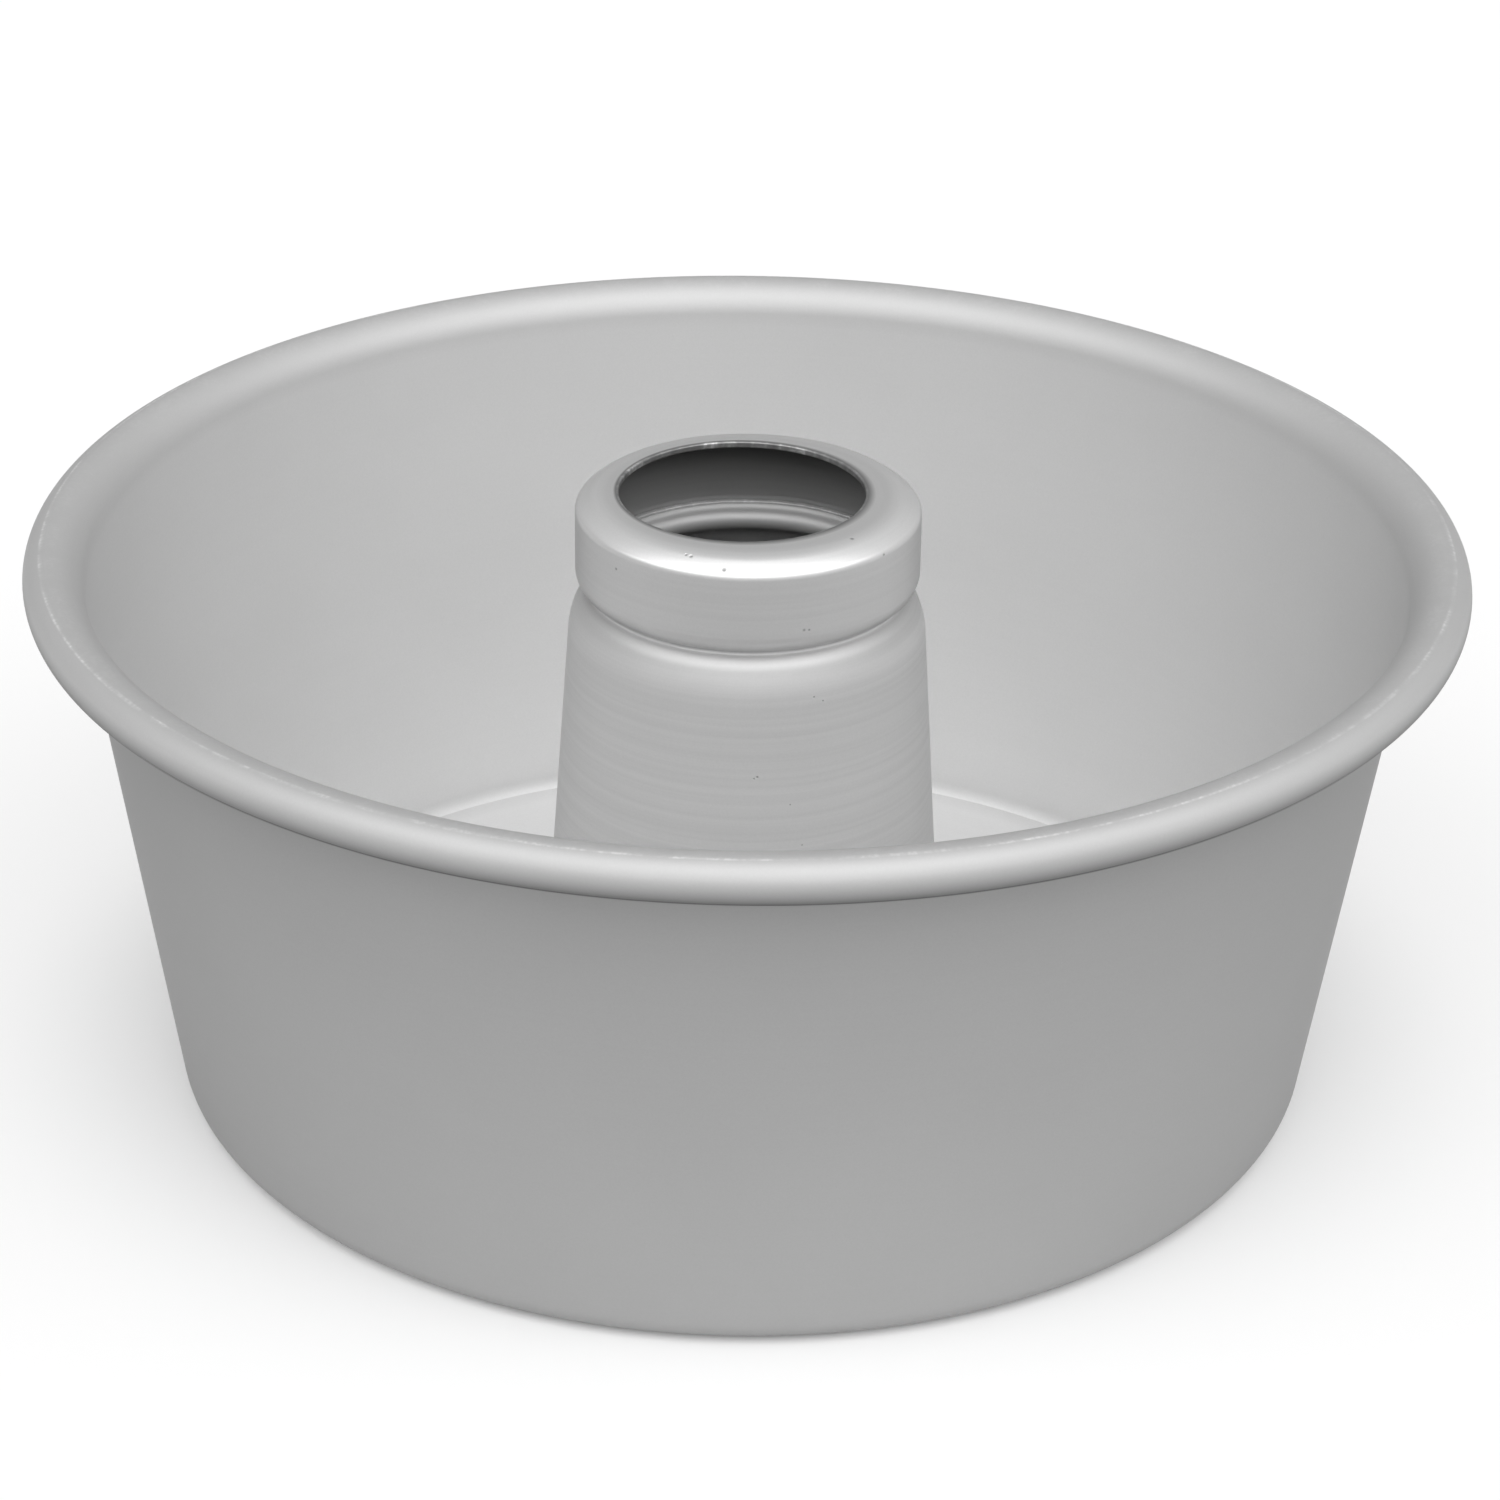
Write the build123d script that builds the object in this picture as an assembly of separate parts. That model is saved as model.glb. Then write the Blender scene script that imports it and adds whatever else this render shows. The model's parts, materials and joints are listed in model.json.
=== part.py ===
from build123d import *
import math
import os

# Angel food cake pan: a spun aluminium shell with a loose bottom that carries the tube.
# Millimetres, +Z up. The origin is on the axis, at the face that the pan stands on.
# Every outline is drawn as (radius, height) and turned about the axis.

# Driving sizes of the pan
rim_radius = 132.5
pan_height = 108.0
wall_taper = 8.6
sheet = 1.2

# Rim: the wall flares out and curls down round a hollow bead
bead_radius = 4.25
flare_radius = 6.8
curl_turn = 262

# Foot: the heel's curve and the flat ledge that it ends in
heel_radius = 6.0
ledge_width = 9.0

# Loose bottom: a flat plate wedged in the heel's curve
plate_thickness = 1.5
seat_clearance = 0.3
seat_turn = 30

# Tube: a cone whose shoulder turns in to a neck, above which its edge flares into the collar.
# The angles say where one curve meets the next, in degrees above or below straight outwards.
tube_top = 114.9
cone_taper = 3.8
shoulder_radius = 16.0
shoulder_end_radius = 5.0
neck_radius = 0.9
shoulder_meets_end = 25.8
end_meets_neck = 72.7
neck_meets_flare = 73.0

# Tube foot: a flattened fold above the plate and a flange below it
fold_reach = 3.0
foot_bend_radius = 1.0
flange_width = 5.0

# Collar: the ring crimped over the tube's flared edge
collar_radius = 31.9
collar_corner_radius = 3.8
collar_height = 18.5
roll_radius = 4.0
roll_turn = 66
crimp_gap = 0.1
opening_radius = 22.7
opening_offset = -1.2

# How far a cutter runs past the face that it cuts, and the gap under which two points are one
overrun = 5.0
same_point = 0.0001

taper = math.radians(wall_taper)
cone_lean = math.radians(cone_taper)

# Places on the pan that the loose bottom also needs
bead_axis_radius = rim_radius - bead_radius
wall_top_radius = bead_axis_radius - flare_radius * math.cos(taper)
wall_top = pan_height - flare_radius * (1 - math.sin(taper))
wall_foot_radius = wall_top_radius - (wall_top - heel_radius) * math.tan(taper)
heel_inner_radius = heel_radius - sheet
heel_axis_radius = wall_foot_radius - heel_inner_radius / math.cos(taper)

# Places on the plate
seat_radius = heel_inner_radius - seat_clearance
plate_radius = heel_axis_radius + seat_radius * math.sin(math.radians(seat_turn))
plate_underside = heel_radius - seat_radius * math.cos(math.radians(seat_turn))
plate_top = plate_underside + plate_thickness


def turned(outline):
    """The ring that a closed outline of (radius, height) sweeps about the axis."""
    return revolve(Plane.XZ * make_face(outline), Axis.Z)


def skin(bends, depth, lead_in, lead_out):
    """One skin of bent sheet: its first point, its last point and its edges.

    The path is a row of bends, each (centre, radius, start angle, turn), joined by straight runs.
    The skin lies at a depth to the right of the path, so a left turn makes its radius larger.
    """
    arcs = [
        CenterArc(centre, radius + math.copysign(depth, turn), start, turn)
        for centre, radius, start, turn in bends
    ]
    begin = arcs[0] @ 0 - (arcs[0] % 0) * lead_in
    end = arcs[-1] @ 1 + (arcs[-1] % 1) * lead_out
    stops = [begin] + [arc @ share for arc in arcs for share in (0, 1)] + [end]
    pairs = zip(stops[::2], stops[1::2])
    runs = [Line(start, stop) for start, stop in pairs if (stop - start).length > same_point]
    return begin, end, arcs + runs


def sheet_ring(bends, lead_in=0, lead_out=0):
    """Sheet metal turned about the axis, with the metal to the right of the path of bends."""
    near_begin, near_end, near = skin(bends, 0, lead_in, lead_out)
    far_begin, far_end, far = skin(bends, sheet, lead_in, lead_out)
    caps = [Line(near_begin, far_begin), Line(near_end, far_end)]
    return turned(near + far + caps)


def on_circle(centre, radius, degrees):
    """The point of a circle in the direction that is so many degrees above straight outwards."""
    angle = math.radians(degrees)
    return (centre[0] + radius * math.cos(angle), centre[1] + radius * math.sin(angle))


# Centres of the collar's rolled lip and of the tube's curves, each from the one above it
flare_radius_of_tube = roll_radius - sheet - crimp_gap
roll_centre = (collar_radius - roll_radius, tube_top - collar_height + roll_radius)
neck_centre = on_circle(roll_centre, flare_radius_of_tube + neck_radius, -neck_meets_flare)
end_centre = on_circle(neck_centre, -neck_radius - shoulder_end_radius, end_meets_neck)
shoulder_centre = on_circle(end_centre, shoulder_end_radius - shoulder_radius, shoulder_meets_end)
cone_top = on_circle(shoulder_centre, shoulder_radius, cone_taper)


def cone_radius_at(height):
    """Outer radius of the tube's cone at a height."""
    return cone_top[0] + (cone_top[1] - height) * math.tan(cone_lean)


# Centre of the bend that turns the tube out under the plate
foot_bend_height = plate_underside + foot_bend_radius
foot_bend_centre = (
    cone_radius_at(foot_bend_height) + foot_bend_radius / math.cos(cone_lean),
    foot_bend_height,
)


def make_pan_body():
    """Shell: seat ledge, heel, tapered wall, flare and hollow curled rim."""
    heel_centre = (heel_axis_radius, heel_radius)
    flare_centre = (bead_axis_radius, pan_height - flare_radius)
    bead_centre = (bead_axis_radius, pan_height - bead_radius)
    heel = (heel_centre, heel_inner_radius, -90, 90 - wall_taper)
    flare = (flare_centre, flare_radius, 180 - wall_taper, wall_taper - 90)
    curl = (bead_centre, bead_radius, 90, -curl_turn)
    return sheet_ring([heel, flare, curl], lead_in=ledge_width)


def make_base_plate():
    """Flat round bottom with the hole that the tube's foot is set in."""
    middle = Pos(0, 0, plate_underside + plate_thickness / 2)
    plate = Cylinder(plate_radius, plate_thickness)
    hole = Cylinder(foot_bend_centre[0], plate_thickness + 2 * overrun)
    return middle * (plate - hole)


def make_centre_tube():
    """Tapered tube: flared top edge, neck, shoulder, cone, and the fold and flange of its foot."""
    flare = (roll_centre, flare_radius_of_tube, 0, -neck_meets_flare)
    neck = (neck_centre, neck_radius, 180 - neck_meets_flare, neck_meets_flare + end_meets_neck)
    end = (end_centre, shoulder_end_radius, end_meets_neck, shoulder_meets_end - end_meets_neck)
    shoulder = (shoulder_centre, shoulder_radius, shoulder_meets_end, cone_taper - shoulder_meets_end)
    bend = (foot_bend_centre, foot_bend_radius, 180 + cone_taper, 90 - cone_taper)
    cone = sheet_ring([flare, neck, end, shoulder, bend], lead_out=flange_width)
    return cone + make_foot_fold()


def make_foot_fold():
    """Flattened fold of the tube that lies on the plate round its hole."""
    fold_top = plate_top + 2 * sheet
    inner = cone_radius_at(fold_top) - sheet / 2
    outer = cone_radius_at(plate_top) + fold_reach - sheet
    top = Line((inner, fold_top), (outer, fold_top))
    edge = CenterArc((outer, plate_top + sheet), sheet, 90, -180)
    foot = Line(edge @ 1, (inner, plate_top))
    return turned([top, edge, foot, Line(foot @ 1, top @ 0)])


def make_tube_collar():
    """Collar: flat top with the opening, rounded corner, upright wall and rolled-in lower lip."""
    corner_centre = (collar_radius - collar_corner_radius, tube_top - collar_corner_radius)
    corner = (corner_centre, collar_corner_radius, 90, -90)
    lip = (roll_centre, roll_radius, 0, -roll_turn)
    opening = Cylinder(opening_radius, 2 * (sheet + overrun))
    ring = sheet_ring([corner, lip], lead_in=corner_centre[0])
    return ring - Pos(opening_offset, 0, tube_top) * opening


pieces = {
    "pan_body": make_pan_body(),
    "base_plate": make_base_plate(),
    "centre_tube": make_centre_tube(),
    "tube_collar": make_tube_collar(),
}

os.makedirs("parts", exist_ok=True)
for name, piece in pieces.items():
    export_step(piece, f"parts/{name}.step")
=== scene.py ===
"""Angel food cake pan: a spun aluminium shell, a loose bottom, a tapered tube and its collar.

The file is laid out as an add-on and run as a script. Every length is in metres, in the frame of
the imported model, whose hidden nodes the finely turned pieces here stand for. Each piece is a
closed outline of (radius, height) carried round the axis, with rounded sheet edges and the metal
on the right of its path.
"""

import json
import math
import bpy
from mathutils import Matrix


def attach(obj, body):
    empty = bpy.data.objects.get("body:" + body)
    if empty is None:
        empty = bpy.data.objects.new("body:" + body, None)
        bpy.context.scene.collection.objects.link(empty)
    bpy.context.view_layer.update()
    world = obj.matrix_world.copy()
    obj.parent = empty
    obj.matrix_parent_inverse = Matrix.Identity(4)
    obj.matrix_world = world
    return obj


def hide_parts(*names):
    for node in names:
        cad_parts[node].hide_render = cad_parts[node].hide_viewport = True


bl_info = {
    "name": "Angel food cake pan",
    "version": (1, 0, 0),
    "blender": (4, 5, 0),
    "location": "3D View > Sidebar > Cake Pan",
    "description": "Builds the spun aluminium looks of a two-piece cake pan over its packed model",
    "category": "Add Mesh",
}

from collections import namedtuple

import bpy
import numpy as np
from bpy.props import FloatProperty, FloatVectorProperty, PointerProperty
from bpy.types import Operator, Panel, PropertyGroup
from mathutils import Matrix

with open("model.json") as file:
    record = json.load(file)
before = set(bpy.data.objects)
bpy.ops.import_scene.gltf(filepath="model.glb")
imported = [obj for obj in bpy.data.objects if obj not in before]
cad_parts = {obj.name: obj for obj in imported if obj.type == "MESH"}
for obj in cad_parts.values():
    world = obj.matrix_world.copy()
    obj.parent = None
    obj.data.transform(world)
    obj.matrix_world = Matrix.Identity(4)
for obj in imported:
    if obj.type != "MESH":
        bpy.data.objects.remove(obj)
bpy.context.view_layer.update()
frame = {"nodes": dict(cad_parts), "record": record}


def node_reach(node):
    """Least and greatest distance from the axis, then height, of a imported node."""
    mesh = frame["nodes"][node].data
    points = np.empty(3 * len(mesh.vertices))
    mesh.vertices.foreach_get("co", points)
    x, y, z = points.reshape(-1, 3).T
    radius = np.hypot(x, y)
    return radius.min(), radius.max(), z.min(), z.max()


SHELL = node_reach("pan_body")
PLATE = node_reach("base_plate")
TUBE = node_reach("centre_tube")
COLLAR = node_reach("tube_collar")
MOUNTS = {mount["name"]: mount for mount in frame["record"]["mounts"]}
OPENING = MOUNTS["collar_opening"]


# Properties


def length(name, description, default, least=0.0):
    """A length that a user can change."""
    return FloatProperty(
        name=name, description=description, default=float(default), min=least,
        subtype="DISTANCE", unit="LENGTH", precision=5,
    )


def angle(name, description, degrees):
    """An angle that a user can change."""
    return FloatProperty(
        name=name, description=description, default=math.radians(degrees),
        subtype="ANGLE", unit="ROTATION",
    )


def share(name, description, default):
    """A share from 0 to 1 that a user can change."""
    return FloatProperty(name=name, description=description, default=default, min=0.0, max=1.0)


def colour(name, description, grey):
    """A colour that a user can change, at first a grey."""
    return FloatVectorProperty(
        name=name, description=description, subtype="COLOR", default=(grey,) * 3, min=0.0, max=1.0,
    )


class SheetSizes(PropertyGroup):
    """Sizes that the bent sheet has everywhere."""

    thickness: length("Sheet", "Thickness of the spun sheet", 0.0012)
    edge_round: length("Edge round", "Radius that the cut edges of the sheet are broken to", 0.0003)
    run_step: length("Run step", "Longest stretch between points of a straight run", 0.0025)
    arc_step: angle("Arc step", "Longest turn between points of a bend", 5.0)
    raw_edge_ripple: length("Ripple", "How far a raw edge wanders up and down", 0.00008)


class ShellSizes(PropertyGroup):
    """Sizes of the shell with its rolled rim."""

    rim_radius: length("Rim radius", "Outer radius of the rolled rim", SHELL[1])
    height: length("Height", "Height of the rim over the table", SHELL[3])
    taper: angle("Taper", "Lean of the wall from upright", 8.6)
    bead_radius: length("Bead radius", "Outer radius of the rim's curl", 0.00425)
    flare_radius: length("Flare radius", "Inner radius of the bend from wall to rim", 0.0068)
    curl_turn: angle("Curl turn", "How far round the rim's curl goes", 262.0)
    heel_radius: length("Heel radius", "Outer radius of the bend from wall to ledge", 0.006)
    ledge_width: length("Ledge width", "Flat ledge inside the heel's bend", 0.009)
    wear_inset: length("Wear inset", "Where the rim is rubbed bright, in from its outside", 0.0033)
    wear_width: length("Wear width", "Width of the rubbed line", 0.00018)
    dull_width: length("Dull width", "Width of the lightly rubbed band on the rim", 0.0022)


class PlateSizes(PropertyGroup):
    """Sizes of the loose bottom."""

    edge_radius: length("Edge radius", "Outer radius of the loose bottom", PLATE[1])
    hole_radius: length("Hole radius", "Radius of the hole for the tube's foot", PLATE[0])
    underside: length("Underside", "Height of the plate's underside", PLATE[2])
    top: length("Top", "Height of the plate's top", PLATE[3])


class TubeSizes(PropertyGroup):
    """Sizes of the tube. The angles say where one curve of its outline meets the next."""

    taper: angle("Taper", "Lean of the cone from upright", 3.8)
    shoulder_radius: length("Shoulder radius", "Radius of the shoulder's first curve", 0.016)
    shoulder_end_radius: length("Shoulder end", "Radius of the shoulder's tighter curve", 0.005)
    neck_radius: length("Neck radius", "Radius of the neck under the flared edge", 0.0009)
    shoulder_meets_end: angle("Shoulder meets end", "Tilt where the two curves meet", 25.8)
    end_meets_neck: angle("End meets neck", "Tilt where the shoulder meets the neck", 72.7)
    neck_meets_flare: angle("Neck meets flare", "Tilt where the neck meets the flare", 73.0)
    crimp_gap: length("Crimp gap", "Gap between the flared edge and the collar's roll", 0.0001)
    seam_turn: angle("Seam turn", "Gap under the collar's lip, as a turn about its roll", 0.5)
    foot_bend_radius: length("Foot bend", "Inner radius of the bend under the plate", 0.001)
    flange_width: length("Flange width", "Flat flange under the plate", 0.005)
    fold_reach: length("Fold reach", "How far the foot's fold lies over the plate", 0.003)


class CollarSizes(PropertyGroup):
    """Sizes of the collar that is crimped over the tube's top edge."""

    radius: length("Radius", "Outer radius of the collar", COLLAR[1])
    top: length("Top", "Height of the collar's top", COLLAR[3])
    height: length("Height", "From the top to the lowest point of the full roll", 0.0185)
    roll_radius: length("Roll radius", "Outer radius of the lower lip's roll", 0.004)
    roll_turn: angle("Roll turn", "How far in the lower lip is rolled", 66.0)
    opening_radius: length("Opening", "Radius of the opening", OPENING["dims"]["r_mm"] / 1000)
    opening_offset: length("Offset", "The opening's place along X", OPENING["pos_m"][0], -1.0)
    opening_setback: length("Setback", "The opening's place along Y", 0.0009)


class FinishLooks(PropertyGroup):
    """Colours and gloss of the satin aluminium, and the tones of light and shade painted on it."""

    shell_colour: colour("Shell colour", "Colour of the bottom and the shell's inside by it", 0.75)
    # Painted light: the shell's inside is painted brightest at its foot, and this upper tone greys
    # it higher up.
    upper_tone: share("Upper tone", "Tone of the inside's upper half beside that colour", 0.92)
    tube_colour: colour("Tube colour", "Colour of the tube", 0.74)
    collar_colour: colour("Collar colour", "Colour of the collar", 0.81)
    worn_colour: colour("Worn colour", "Colour of the metal where the satin is rubbed off", 0.95)
    # Painted shade: the crown tone greys the rim's crown, the outside and foot tones darken the
    # outside wall, and the crease tone darkens it most under the rim.
    crown_tone: share("Crown tone", "Tone of the rim's crown beside the shell colour", 0.74)
    outside_tone: share("Outside tone", "Tone of the outside wall at its top beside it", 0.49)
    foot_tone: share("Foot tone", "Tone of the outside wall at its foot beside it", 0.575)
    crease_tone: share("Crease tone", "Tone of the rim's underside beside it", 0.22)
    # Painted shade: the shoulder tone darkens the tube where it turns in, and the neck and bore
    # tones paint its inside darker down from the neck.
    shoulder_tone: share("Shoulder tone", "Tone of the tube's shoulder where it turns in", 0.80)
    neck_tone: share("Neck tone", "Tone of the tube's raw inside at its neck", 0.82)
    bore_tone: share("Bore tone", "Tone of the tube's raw inside farther down", 0.15)
    # Painted shade: the lining and lip tones darken the collar's inside under its top, and the top
    # tone greys its flat top.
    lining_tone: share("Lining tone", "Tone of the collar's raw inside under its top", 0.30)
    lip_tone: share("Lip tone", "Tone of the collar's raw inside at its lower lip", 0.54)
    top_tone: share("Top tone", "Tone of the collar's flat top", 0.78)
    shell_roughness: share("Shell roughness", "How matt the shell is", 0.62)
    plate_roughness: share("Bottom roughness", "How matt the loose bottom is", 0.60)
    tube_roughness: share("Tube roughness", "How matt the tube is", 0.54)
    collar_roughness: share("Collar roughness", "How matt the collar is", 0.36)
    metallic: share("Metallic", "How far the finish reflects as bare metal", 0.50)
    edge_tint: share("Edge tint", "Brightness of the reflection at a glance along the metal", 0.10)
    sheen: share("Sheen", "Strength of the reflection that isn't the metal's own", 0.20)
    coat: share("Coat", "Strength of the clear anodised skin's own reflection", 0.08)
    coat_roughness: share("Coat roughness", "How matt the anodised skin is", 0.32)


class StudioLooks(PropertyGroup):
    """Camera, floor and light."""

    lens: FloatProperty(name="Lens", description="Focal length in millimetres", default=108.88)
    distance: length("Distance", "From the camera to the point that it aims at", 0.8562)
    elevation: angle("Elevation", "How far above level the camera stands", 26.843)
    roll: angle("Roll", "How far the camera is turned about its own axis", 0.809)
    aim: FloatVectorProperty(
        name="Aim", description="The point in the middle of the picture",
        subtype="TRANSLATION", default=(0.0009, 0.0, 0.06195), precision=5,
    )
    surroundings: FloatProperty(
        name="Surroundings", description="Brightness of the plain room", default=0.26, min=0.0,
    )
    side_balance: share("Side balance", "How much brighter the room is to the right", 0.42)
    softbox: FloatProperty(
        name="Softbox", description="Brightness that the softbox adds", default=2.13, min=0.0,
    )
    floor_radius: length("Floor radius", "Radius of the flat floor", 30.0)
    floor_colour: colour("Floor colour", "Colour of the floor", 0.92)
    floor_glow: share("Floor glow", "Share of the floor's white that shadow doesn't take", 0.6)


# Outlines

# Points nearer than this are one point
SAME_POINT = 1e-7

# Points along the rounding of a cut edge, and how far from the edge the row that holds a skin flat
# stands, in roundings
ROUND_POINTS = 6
HOLD_REACH = 2.0


def bend_points(centre, radius, start, turn):
    """Points of a circle about the centre, from the start angle through the turn, in degrees."""
    sheet = bpy.context.scene.pan_sheet
    steps = max(2, math.ceil(abs(turn) / math.degrees(sheet.arc_step)))
    around = np.radians(np.linspace(start, start + turn, steps + 1))
    return np.column_stack(
        [centre[0] + radius * np.cos(around), centre[1] + radius * np.sin(around)]
    )


def heading(degrees, turn):
    """Unit vector along a circle at an angle, in the sense of the turn."""
    around = math.radians(degrees)
    return math.copysign(1.0, turn) * np.array([-math.sin(around), math.cos(around)])


def with_runs(stretches):
    """The stretches joined in one line, with even points along the straight runs between them."""
    step = bpy.context.scene.pan_sheet.run_step
    joined = [stretches[0]]
    for before, after in zip(stretches, stretches[1:]):
        gap = np.linalg.norm(after[0] - before[-1])
        inner = np.linspace(before[-1], after[0], max(2, math.ceil(gap / step) + 1))[1:-1]
        joined += [inner, after] if gap > SAME_POINT else [after[1:]]
    return np.vstack(joined)


def skin(bends, depth, lead_in, lead_out):
    """One skin of bent sheet, at a depth to the right of the path of bends.

    A bend is a centre, a radius, a start angle and a turn, in degrees. A left turn's radius grows
    by the depth, and a right turn's shrinks by it. The skin runs straight from bend to bend.
    """
    arcs = [
        bend_points(centre, radius + math.copysign(depth, turn), start, turn)
        for centre, radius, start, turn in bends
    ]
    start, turn = bends[0][2:]
    first = arcs[0][:1] - lead_in * heading(start, turn)
    start, turn = bends[-1][2:]
    last = arcs[-1][-1:] + lead_out * heading(start + turn, turn)
    return with_runs([*([first] if lead_in else []), *arcs, *([last] if lead_out else [])])


def sheet_edge(near, far):
    """The cut edge between the ends of two skins: two small quarter rounds with a flat between.

    A row on each skin, as far again from the edge as the rounding reaches, holds the skin flat.
    """
    size = bpy.context.scene.pan_sheet.edge_round
    across = far[-1] - near[-1]
    across = across / np.linalg.norm(across)
    along = np.array([-across[1], across[0]])
    if along @ (near[-1] - near[-2]) < 0:
        along = -along
    quarter = np.radians(np.linspace(0.0, 90.0, ROUND_POINTS))[:, None]
    round_off = size * (along * np.sin(quarter) + across * (1.0 - np.cos(quarter)) - along)
    mirrored = size * (along * np.sin(quarter) - across * (1.0 - np.cos(quarter)) - along)
    hold = -HOLD_REACH * size * along
    return np.vstack([
        near[-1] + hold, near[-1] + round_off, (far[-1] + mirrored)[::-1], far[-1] + hold,
    ])


def trimmed(skin_points):
    """A skin cut back at both ends by what the cut edges take up."""
    taken = HOLD_REACH * bpy.context.scene.pan_sheet.edge_round
    run = np.cumsum(np.r_[0.0, np.linalg.norm(np.diff(skin_points, axis=0), axis=1)])
    return skin_points[(run > taken) & (run < run[-1] - taken)]


def sheet_outline(near, far):
    """Closed outline of a sheet between its near and far skins, with both cut edges rounded."""
    end = sheet_edge(near, far)
    begin = sheet_edge(far[::-1], near[::-1])
    return np.vstack([trimmed(near), end, trimmed(far)[::-1], begin])


def bent_sheet(bends, lead_in):
    """Closed outline of bent sheet that follows a path of bends after a straight run."""
    thickness = bpy.context.scene.pan_sheet.thickness
    return sheet_outline(skin(bends, 0.0, lead_in, 0.0), skin(bends, thickness, lead_in, 0.0))


def on_circle(centre, radius, degrees):
    """The point of a circle so many degrees above straight outwards."""
    around = math.radians(degrees)
    return centre[0] + radius * math.cos(around), centre[1] + radius * math.sin(around)


def shell_outline(sizes, sheet):
    """Ledge, heel, tapered wall, flare and curled rim."""
    lean = sizes.taper
    taper, curl = math.degrees(lean), math.degrees(sizes.curl_turn)
    rim = sizes.rim_radius - sizes.bead_radius
    heel = sizes.heel_radius - sheet.thickness
    wall_top = rim - sizes.flare_radius * math.cos(lean)
    rise = sizes.height - sizes.flare_radius * (1.0 - math.sin(lean)) - sizes.heel_radius
    heel_axis = wall_top - rise * math.tan(lean) - heel / math.cos(lean)
    bends = [
        ((heel_axis, sizes.heel_radius), heel, -90.0, 90.0 - taper),
        ((rim, sizes.height - sizes.flare_radius), sizes.flare_radius, 180.0 - taper, taper - 90.0),
        ((rim, sizes.height - sizes.bead_radius), sizes.bead_radius, 90.0, -curl),
    ]
    return bent_sheet(bends, sizes.ledge_width)


def plate_outline(sizes):
    """Flat ring from the tube's foot to the seat in the heel."""
    skins = []
    for height in (sizes.top, sizes.underside):
        ends = np.array([[[sizes.hole_radius, height]], [[sizes.edge_radius, height]]])
        skins.append(with_runs(list(ends)))
    return sheet_outline(*skins)


def roll_centre(collar):
    """Centre of the lower lip's roll."""
    return collar.radius - collar.roll_radius, collar.top - collar.height + collar.roll_radius


def tube_tilts(tube):
    """Tilts where the tube's curves meet, from the flare down, and the cone's, in degrees."""
    tilts = tube.neck_meets_flare, tube.end_meets_neck, tube.shoulder_meets_end, tube.taper
    return [math.degrees(tilt) for tilt in tilts]


def tube_places(tube, collar, sheet):
    """The flare's radius, and the centres of the tube's curves, each from the one above it."""
    flare = collar.roll_radius - sheet.thickness - tube.crimp_gap
    roll = roll_centre(collar)
    meets_flare, meets_neck, meets_end, _ = tube_tilts(tube)
    neck = on_circle(roll, flare + tube.neck_radius, -meets_flare)
    end = on_circle(neck, -tube.neck_radius - tube.shoulder_end_radius, meets_neck)
    shoulder = on_circle(end, tube.shoulder_end_radius - tube.shoulder_radius, meets_end)
    return flare, roll, neck, end, shoulder


def groove_bend(tube, collar, places):
    """The soft groove where the collar's lip meets the shoulder, as a bend.

    It is the circle that touches the lip's circle, of radius R, just past the lip's end, and the
    shoulder's tighter circle, of radius S. With u the way from the lip's centre to that point and e
    the way to the shoulder's centre, its radius is (S^2 - R^2 + 2 R u.e - e.e) / 2 (R - S - u.e).
    """
    roll, end = np.array(places[1]), np.array(places[3])
    lip, tight = collar.roll_radius, tube.shoulder_end_radius
    tilt = -math.degrees(collar.roll_turn + tube.seam_turn)
    way = np.array(on_circle((0.0, 0.0), 1.0, tilt))
    apart = end - roll
    square = tight**2 - lip**2 + 2.0 * lip * (way @ apart) - apart @ apart
    radius = square / (2.0 * (lip - tight - way @ apart))
    centre = roll + (lip + radius) * way
    to_end = math.degrees(math.atan2(*(end - centre)[::-1])) % 360.0
    return centre, radius, 180.0 + tilt, to_end - 180.0 - tilt


def cone_radius_at(height, tube, shoulder):
    """Outer radius of the tube's cone at a height."""
    top = on_circle(shoulder, tube.shoulder_radius, math.degrees(tube.taper))
    return top[0] + (top[1] - height) * math.tan(tube.taper)


def tube_outline(tube, collar, plate, sheet):
    """Flared edge, neck, shoulder, cone, and the bend and flange under the plate.

    The outside goes out along the lip's cut edge and round the groove, in place of the neck.
    """
    places = tube_places(tube, collar, sheet)
    flare, roll, neck, end, shoulder = places
    meets_flare, meets_neck, meets_end, taper = tube_tilts(tube)
    foot_height = plate.underside + tube.foot_bend_radius
    foot_radius = cone_radius_at(foot_height, tube, shoulder)
    foot = (foot_radius + tube.foot_bend_radius / math.cos(tube.taper), foot_height)
    bends = [
        (roll, flare, 0.0, -meets_flare),
        (neck, tube.neck_radius, 180.0 - meets_flare, meets_flare + meets_neck),
        (end, tube.shoulder_end_radius, meets_neck, meets_end - meets_neck),
        (shoulder, tube.shoulder_radius, meets_end, taper - meets_end),
        (foot, tube.foot_bend_radius, 180.0 + taper, 90.0 - taper),
    ]
    groove = groove_bend(tube, collar, places)
    meets_groove = groove[2] + groove[3] - 180.0
    seen = [
        (roll, flare, 0.0, groove[2] - 180.0), groove,
        (end, tube.shoulder_end_radius, meets_groove, meets_end - meets_groove), *bends[3:],
    ]
    near = skin(seen, 0.0, 0.0, tube.flange_width)
    return sheet_outline(near, skin(bends, sheet.thickness, 0.0, tube.flange_width))


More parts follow.
